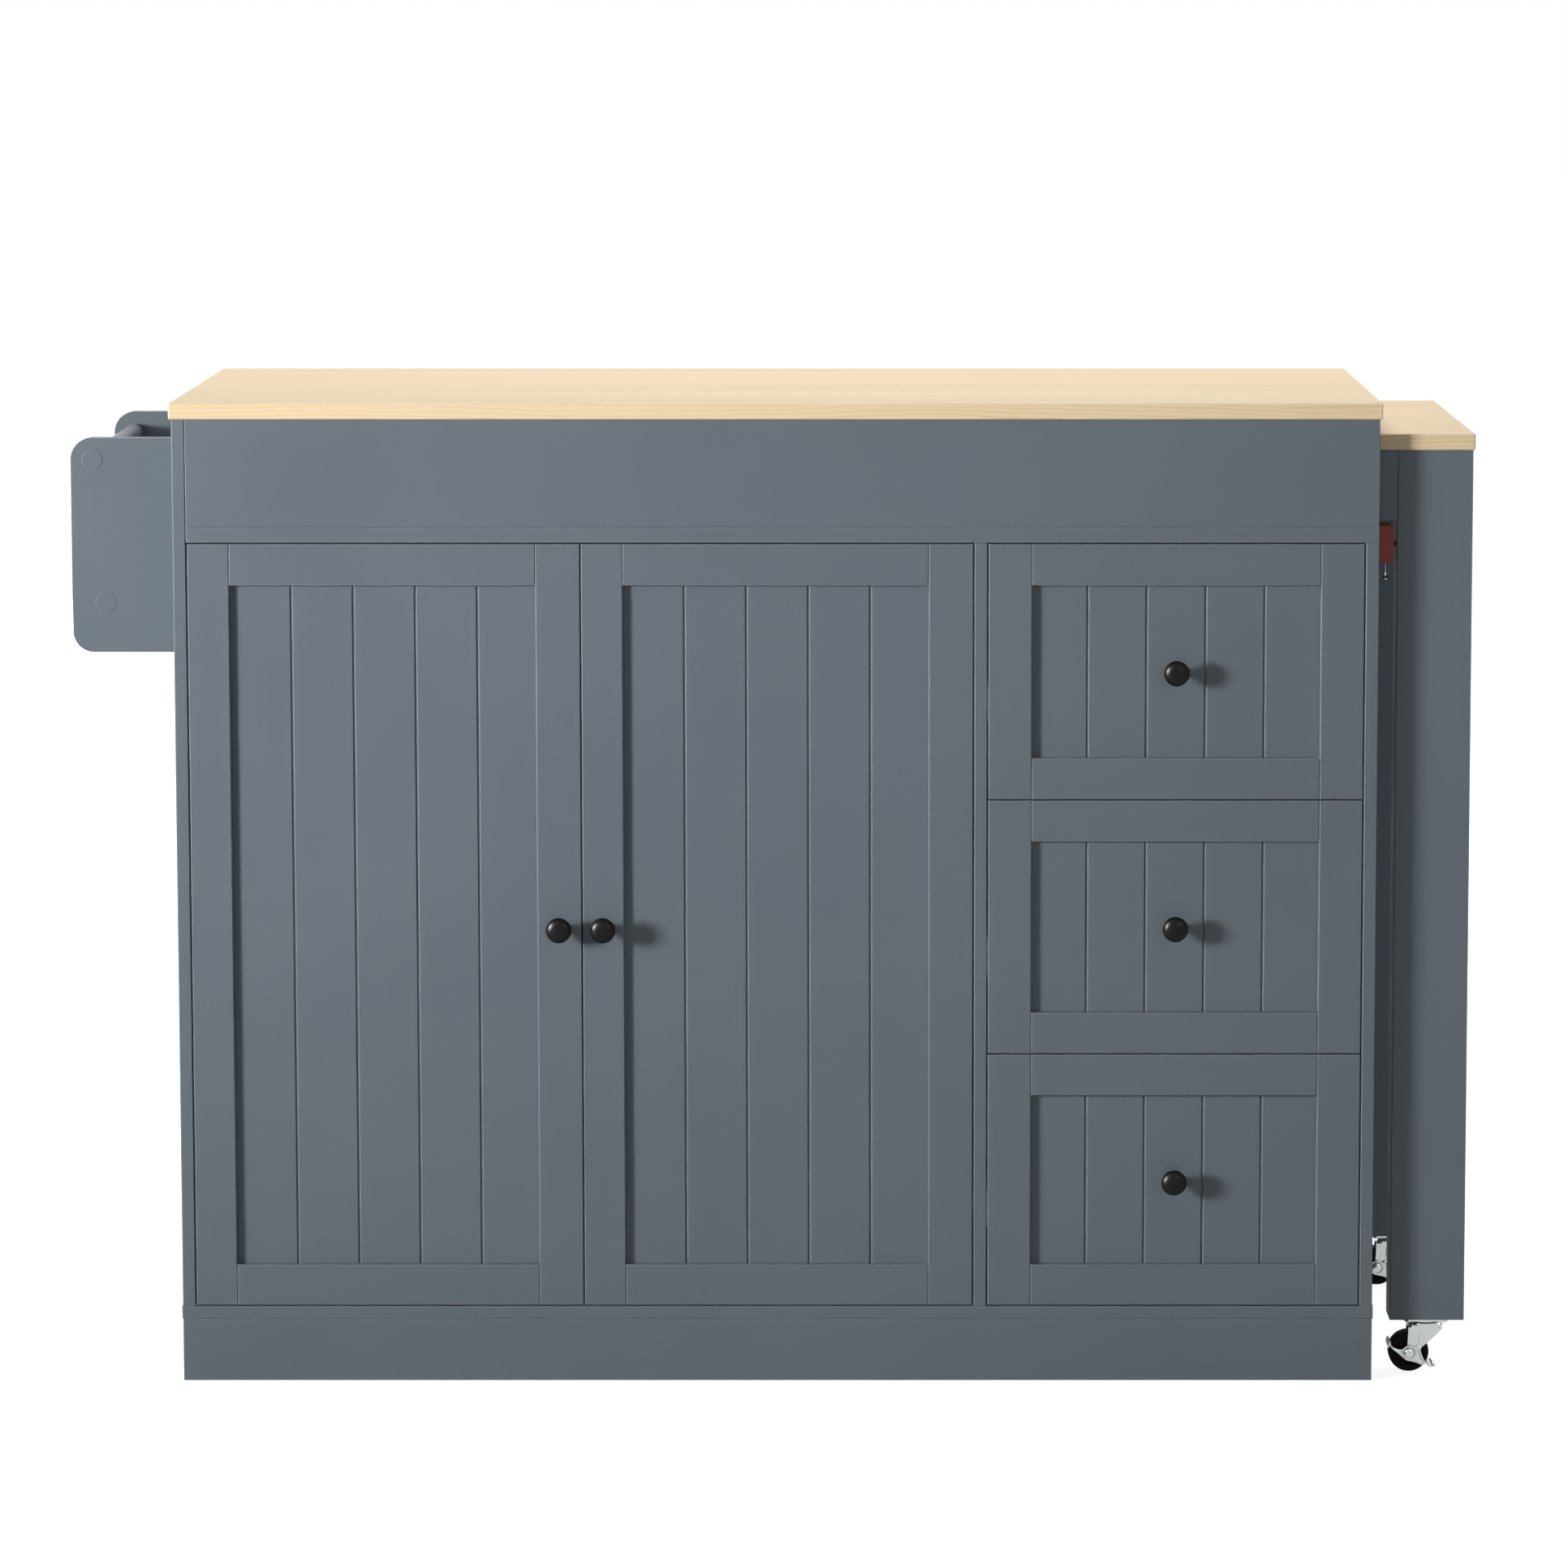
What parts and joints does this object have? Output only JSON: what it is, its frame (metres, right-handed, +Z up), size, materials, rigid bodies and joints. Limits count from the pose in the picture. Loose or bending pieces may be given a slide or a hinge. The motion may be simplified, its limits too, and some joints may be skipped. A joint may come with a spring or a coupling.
{
  "type": "kitchen island",
  "caption": "Kitchen island cabinet with grooved doors, drawers, a towel rack and a wooden top, and a nesting table on casters that slides out at one end.",
  "frame": {"origin": "on the floor under the middle of the island's bounding box, with the table closed", "axes": "+X to the right as seen from the front, along the island; +Y to the back, with the doors facing -Y; +Z up"},
  "size_m": [1.2982, 0.477, 0.914],
  "materials": {
    "painted_board": "satin blue-grey paint on board",
    "light_wood": "clear satin lacquer on pale straight-grained wood",
    "drawer_board": "pale smooth laminate",
    "black_gloss": "glossy black enamel",
    "zinc_steel": "bright zinc plate",
    "black_tyre": "hard black tyre",
    "red_brown_plastic": "moulded dark red-brown plastic",
    "nylon": "white nylon"
  },
  "bodies": {
    "cabinet": {"worktop": "light_wood", "side_panel_left": "painted_board", "side_panel_right": "painted_board", "divider_panel": "painted_board", "bottom_board": "painted_board", "cavity_floor": "painted_board", "front_apron": "painted_board", "rear_apron": "painted_board", "back_panel": "painted_board", "plinth": "painted_board", "adjustable_shelf": "painted_board", "shelf_pins": "zinc_steel", "hinge_arms": "zinc_steel", "drawer_channels": "zinc_steel", "rack_front_plate": "painted_board", "rack_rear_plate": "painted_board", "rack_bars": "painted_board", "rack_caps": "painted_board", "extension_stop": "painted_board", "catch_block": "red_brown_plastic", "catch_screw": "zinc_steel"},
    "door_left": {"door_left_panel": "painted_board", "door_left_frame": "painted_board", "door_left_knob": "black_gloss", "door_left_hinge_cups": "zinc_steel"},
    "door_right": {"door_right_panel": "painted_board", "door_right_frame": "painted_board", "door_right_knob": "black_gloss", "door_right_hinge_cups": "zinc_steel"},
    "drawer_top": {"drawer_top_panel": "painted_board", "drawer_top_frame": "painted_board", "drawer_top_box": "drawer_board", "drawer_top_knob": "black_gloss", "drawer_top_runners": "zinc_steel"},
    "drawer_middle": {"drawer_middle_panel": "painted_board", "drawer_middle_frame": "painted_board", "drawer_middle_box": "drawer_board", "drawer_middle_knob": "black_gloss", "drawer_middle_runners": "zinc_steel"},
    "drawer_bottom": {"drawer_bottom_panel": "painted_board", "drawer_bottom_frame": "painted_board", "drawer_bottom_box": "drawer_board", "drawer_bottom_knob": "black_gloss", "drawer_bottom_runners": "zinc_steel"},
    "extension": {"extension_top": "light_wood", "extension_front_rail": "painted_board", "extension_rear_rail": "painted_board", "extension_cross_rails": "painted_board", "extension_front_leg": "painted_board", "extension_rear_leg": "painted_board", "extension_glides": "nylon", "caster_plates": "zinc_steel"},
    "caster_fork_front": {"caster_fork_front": "zinc_steel"},
    "caster_wheel_front": {"caster_wheel_front": "black_tyre"},
    "caster_brake_front": {"caster_brake_front": "zinc_steel"},
    "caster_fork_rear": {"caster_fork_rear": "zinc_steel"},
    "caster_wheel_rear": {"caster_wheel_rear": "black_tyre"},
    "caster_brake_rear": {"caster_brake_rear": "zinc_steel"},
    "catch_plunger": {"catch_plunger": "red_brown_plastic"}
  },
  "joints": [
    {"name": "door_left_swing", "type": "hinge", "parent": "cabinet", "child": "door_left", "pos_m": [-0.5154, -0.2081, 0.1616], "axis": [0, 0, -1], "range_deg": [0, 95]},
    {"name": "door_right_swing", "type": "hinge", "parent": "cabinet", "child": "door_right", "pos_m": [0.167, -0.2081, 0.1616], "axis": [0, 0, 1], "range_deg": [0, 95]},
    {"name": "drawer_top_slide", "type": "slide", "parent": "cabinet", "child": "drawer_top", "axis": [0, -1, 0], "range_m": [0, 0.259]},
    {"name": "drawer_middle_slide", "type": "slide", "parent": "cabinet", "child": "drawer_middle", "axis": [0, -1, 0], "range_m": [0, 0.259]},
    {"name": "drawer_bottom_slide", "type": "slide", "parent": "cabinet", "child": "drawer_bottom", "axis": [0, -1, 0], "range_m": [0, 0.259]},
    {"name": "extension_slide", "type": "slide", "parent": "cabinet", "child": "extension", "axis": [1, 0, 0], "range_m": [0, 0.64]},
    {"name": "caster_swivel_front", "type": "hinge", "parent": "extension", "child": "caster_fork_front", "pos_m": [0.61285, -0.1705, 0.052], "axis": [0, 0, 1], "continuous": true},
    {"name": "caster_roll_front", "type": "hinge", "parent": "caster_fork_front", "child": "caster_wheel_front", "pos_m": [0.59735, -0.1705, 0.019], "axis": [0, 1, 0], "continuous": true},
    {"name": "caster_lock_front", "type": "hinge", "parent": "caster_fork_front", "child": "caster_brake_front", "pos_m": [0.59735, -0.1705, 0.019], "axis": [0, 1, 0], "range_deg": [0, 10]},
    {"name": "caster_swivel_rear", "type": "hinge", "parent": "extension", "child": "caster_fork_rear", "pos_m": [0.61285, 0.1905, 0.052], "axis": [0, 0, 1], "continuous": true},
    {"name": "caster_roll_rear", "type": "hinge", "parent": "caster_fork_rear", "child": "caster_wheel_rear", "pos_m": [0.59735, 0.1905, 0.019], "axis": [0, 1, 0], "continuous": true},
    {"name": "caster_lock_rear", "type": "hinge", "parent": "caster_fork_rear", "child": "caster_brake_rear", "pos_m": [0.59735, 0.1905, 0.019], "axis": [0, 1, 0], "range_deg": [0, 10]},
    {"name": "catch_press", "type": "slide", "parent": "cabinet", "child": "catch_plunger", "axis": [1, 0, 0], "range_m": [-0.0025, 0], "stiffness_N_per_m": 250}
  ]
}
